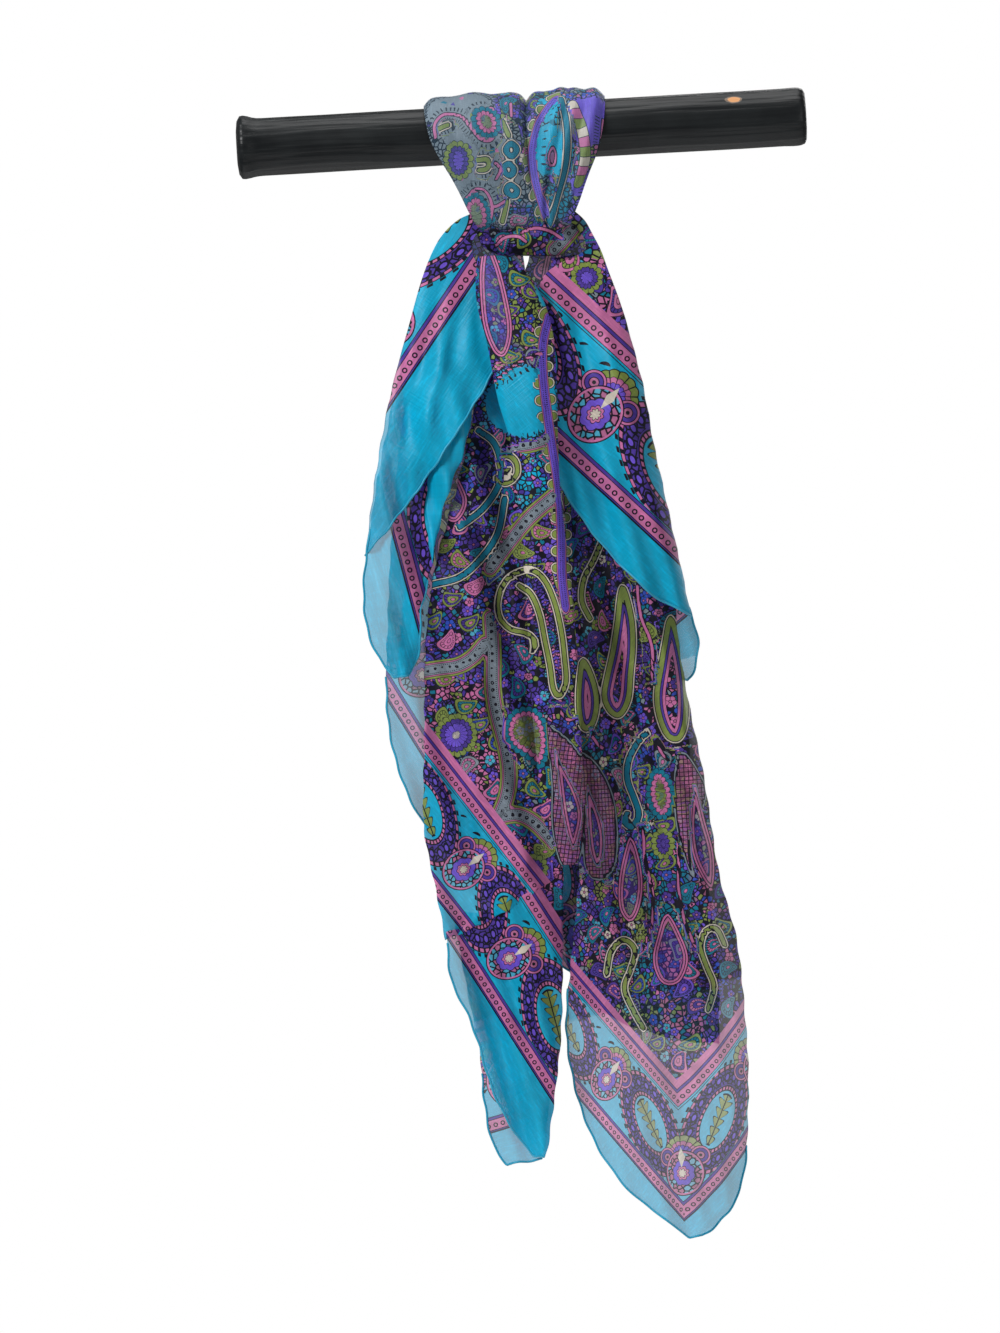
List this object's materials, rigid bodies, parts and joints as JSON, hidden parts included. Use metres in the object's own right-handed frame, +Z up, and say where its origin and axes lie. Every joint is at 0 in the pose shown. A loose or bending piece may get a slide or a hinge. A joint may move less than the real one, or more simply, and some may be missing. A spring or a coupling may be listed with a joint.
{
  "type": "silk square scarf on a rod",
  "caption": "Printed sheer silk square scarf looped and knotted round a straight black rod, its corners hanging in folded layers.",
  "frame": {"origin": "on the rod's axis at the middle of its length", "axes": "+Z up, +X along the rod to the right of the side the knot is seen from, -Y towards that side"},
  "size_m": [0.305, 0.0573, 0.6185],
  "materials": {
    "rod_black": "black film wrapped lengthwise, satin with long creases",
    "print_silk": "sheer silk, soft sheen, dense paisley print",
    "border_silk": "sheer silk, soft sheen, plain turquoise border with a rolled hem"
  },
  "bodies": {
    "root": {"rod": "rod_black", "loop_left": "print_silk", "loop_right": "print_silk", "knot_band": "print_silk", "roll_centre": "print_silk", "flap_left": "border_silk", "corner_left": "border_silk", "flap_right": "print_silk", "corner_right": "border_silk", "panel_centre": "print_silk", "tail_right": "print_silk", "tail_left": "border_silk", "tail_left_back": "border_silk", "back_left": "print_silk", "back_right": "print_silk"}
  },
  "joints": []
}
